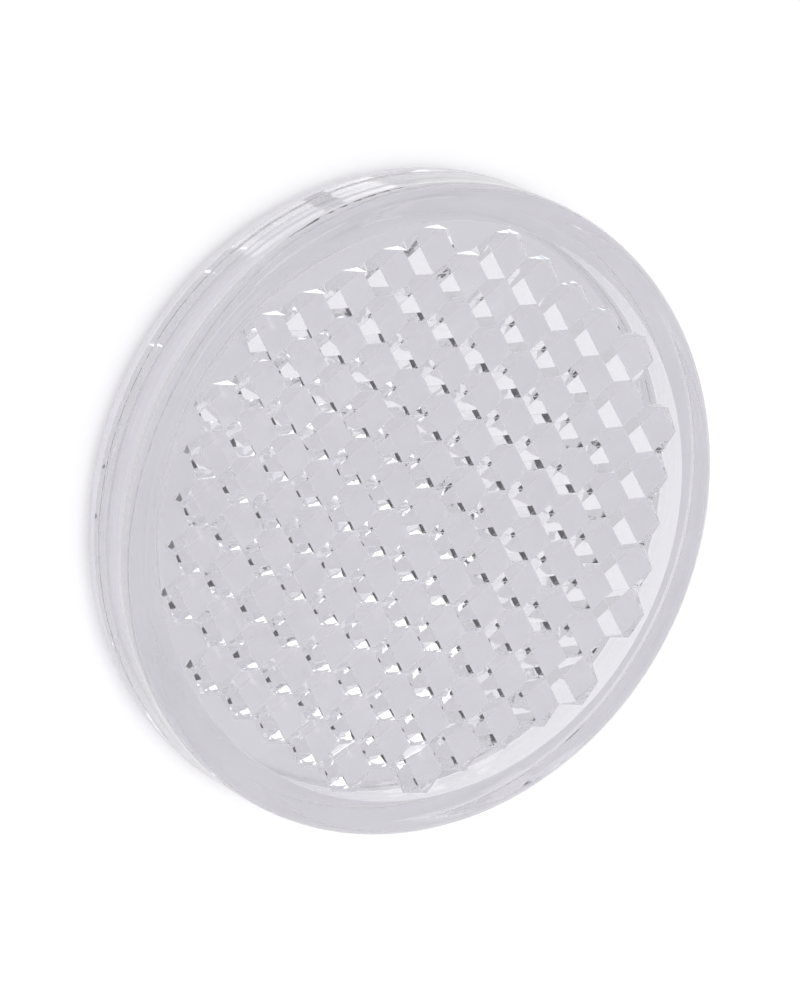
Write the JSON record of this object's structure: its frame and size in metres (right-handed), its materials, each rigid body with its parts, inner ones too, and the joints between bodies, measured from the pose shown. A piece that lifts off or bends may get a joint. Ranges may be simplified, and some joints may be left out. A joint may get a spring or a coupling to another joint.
{
  "type": "corner-cube reflector",
  "caption": "Round clear corner-cube reflector disc: a moulded cup with a field of hexagonal prism pins, sealed by a pale back cover with an adhesive pad.",
  "frame": {"origin": "centre of the lowest face, on the reflector's axis, with the reflector lying on its back", "axes": "+Z along the optical axis, out of the clear front face; +X along a row of pins; -Y towards the liner's finger tab"},
  "size_m": [0.06, 0.06, 0.0091],
  "materials": {
    "lens_acrylic": "clear acrylic, optically polished front face and pin facets",
    "cover_plastic": "off-white moulded ABS, satin",
    "pad_foam": "white closed-cell adhesive foam, matte",
    "liner_paper": "silicone-coated kraft paper, satin"
  },
  "bodies": {
    "root": {"front_lens": "lens_acrylic", "back_cover": "cover_plastic", "adhesive_pad": "pad_foam", "release_liner": "liner_paper"}
  },
  "joints": []
}
